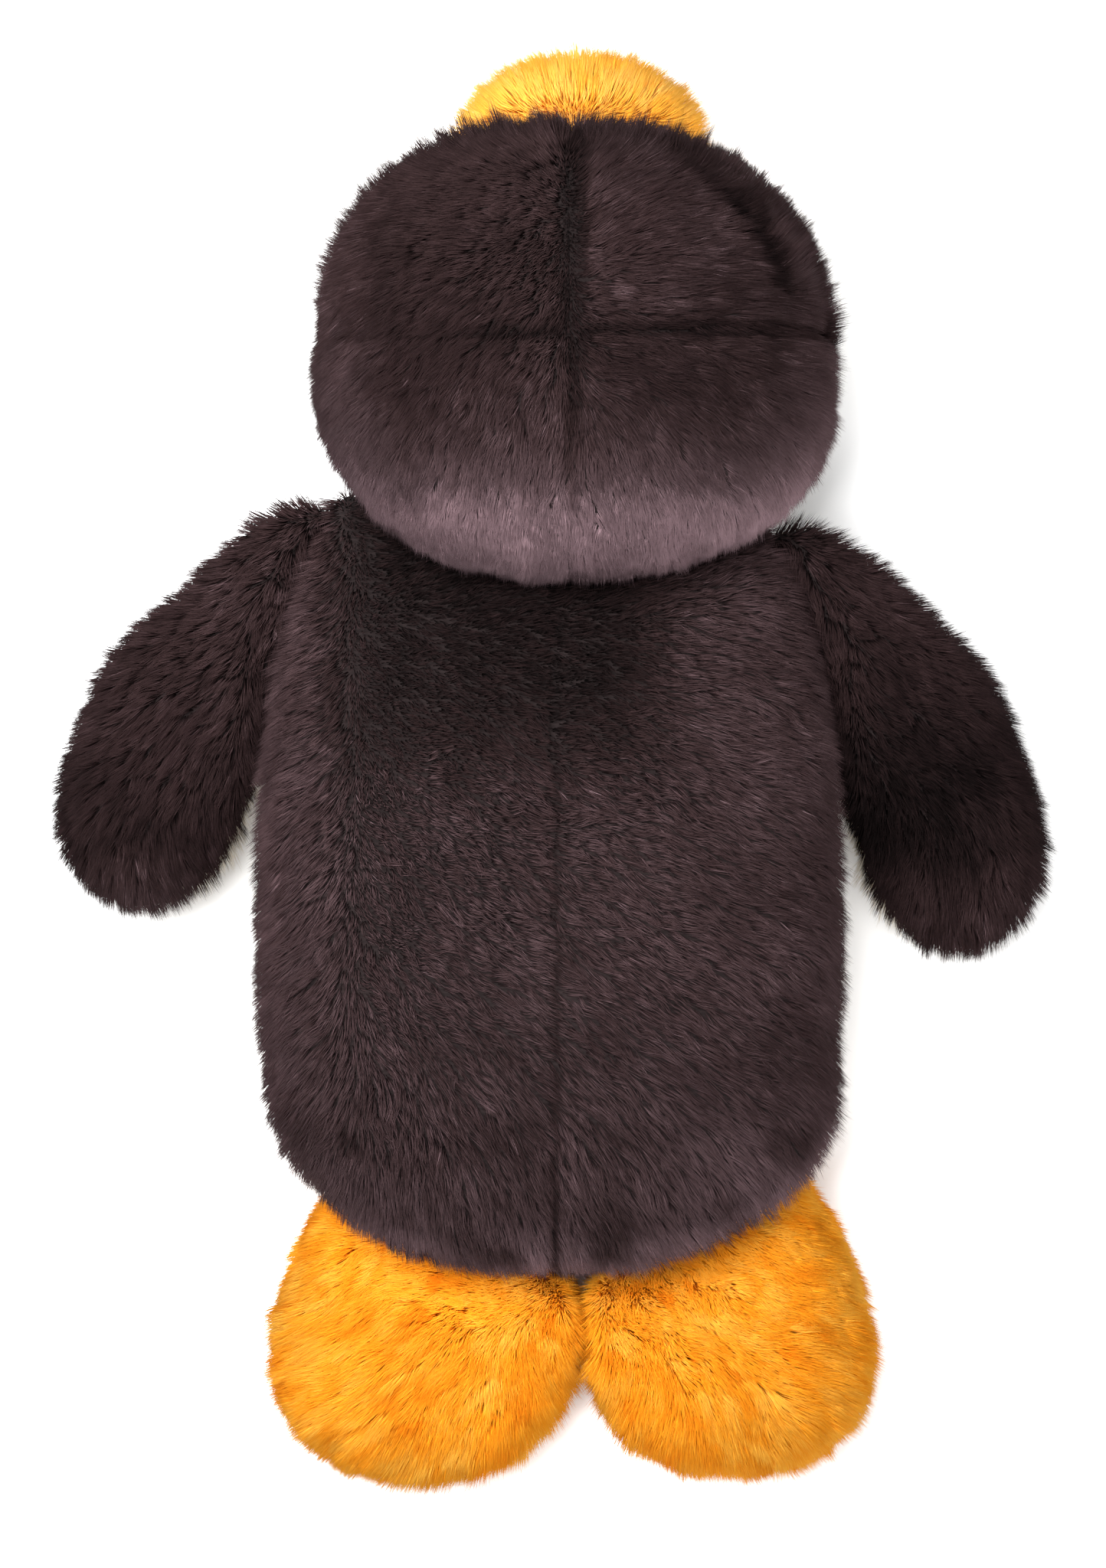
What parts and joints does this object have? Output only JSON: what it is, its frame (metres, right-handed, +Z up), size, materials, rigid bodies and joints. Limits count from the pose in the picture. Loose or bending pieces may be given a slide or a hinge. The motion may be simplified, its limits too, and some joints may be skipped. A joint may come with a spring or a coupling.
{
  "type": "plush penguin",
  "caption": "Stuffed plush penguin lying on its belly, with a dark back, a pale front, an orange beak and feet, and limbs that flop at their seams.",
  "frame": {"origin": "under the middle of the whole toy, on the surface that it lies on", "axes": "+Z up out of the toy's back, -Y towards the head and beak, +Y towards the feet, +X towards the toy's own left wing"},
  "size_m": [0.1714, 0.25, 0.0843],
  "materials": {
    "dark_plush": "dark brown-grey plush with a purple sheen where the pile lies flat",
    "cream_plush": "cream plush",
    "foot_plush": "orange plush with a longer pile",
    "beak_plush": "yellow-orange plush",
    "stuffing": "white polyester fibre",
    "eye": "polished black",
    "eye_washer": "moulded white"
  },
  "bodies": {
    "torso": {"back_left": "dark_plush", "back_right": "dark_plush", "belly_left": "cream_plush", "belly_right": "cream_plush", "seat": "dark_plush", "body_stuffing": "stuffing"},
    "head": {"crown_left": "dark_plush", "crown_right": "dark_plush", "nape_left": "dark_plush", "nape_right": "dark_plush", "brow_band": "dark_plush", "face_left": "cream_plush", "face_right": "cream_plush", "chin": "cream_plush", "head_stuffing": "stuffing", "beak_upper": "beak_plush", "beak_lower": "beak_plush", "beak_stuffing": "stuffing", "eye_left": "eye", "eye_right": "eye", "eye_washer_left": "eye_washer", "eye_washer_right": "eye_washer"},
    "wing_left": {"wing_left_back": "dark_plush", "wing_left_front": "cream_plush", "wing_left_stuffing": "stuffing"},
    "foot_left": {"foot_left_sole": "foot_plush", "foot_left_instep": "foot_plush", "foot_left_stuffing": "stuffing"},
    "wing_right": {"wing_right_back": "dark_plush", "wing_right_front": "cream_plush", "wing_right_stuffing": "stuffing"},
    "foot_right": {"foot_right_sole": "foot_plush", "foot_right_instep": "foot_plush", "foot_right_stuffing": "stuffing"}
  },
  "joints": [
    {"name": "neck_nod", "type": "hinge", "parent": "torso", "child": "head", "pos_m": [0.0003, -0.04196, 0.026], "axis": [1, 0, 0], "range_deg": [-8, 15], "stiffness_Nm_per_rad": 0.08},
    {"name": "wing_left_flap", "type": "hinge", "parent": "torso", "child": "wing_left", "pos_m": [0.0433, -0.04596, 0.024], "axis": [-0.1829, -0.9755, -0.1219], "range_deg": [-8, 45], "stiffness_Nm_per_rad": 0.01},
    {"name": "wing_right_flap", "type": "hinge", "parent": "torso", "child": "wing_right", "pos_m": [-0.0447, -0.04196, 0.024], "axis": [-0.1592, 0.9796, 0.1225], "range_deg": [-8, 45], "stiffness_Nm_per_rad": 0.01},
    {"name": "foot_left_flex", "type": "hinge", "parent": "torso", "child": "foot_left", "pos_m": [0.0225, 0.07204, 0.014], "axis": [1, 0, 0], "range_deg": [-6, 20], "stiffness_Nm_per_rad": 0.015},
    {"name": "foot_right_flex", "type": "hinge", "parent": "torso", "child": "foot_right", "pos_m": [-0.0317, 0.07204, 0.014], "axis": [1, 0, 0], "range_deg": [-6, 20], "stiffness_Nm_per_rad": 0.015}
  ]
}
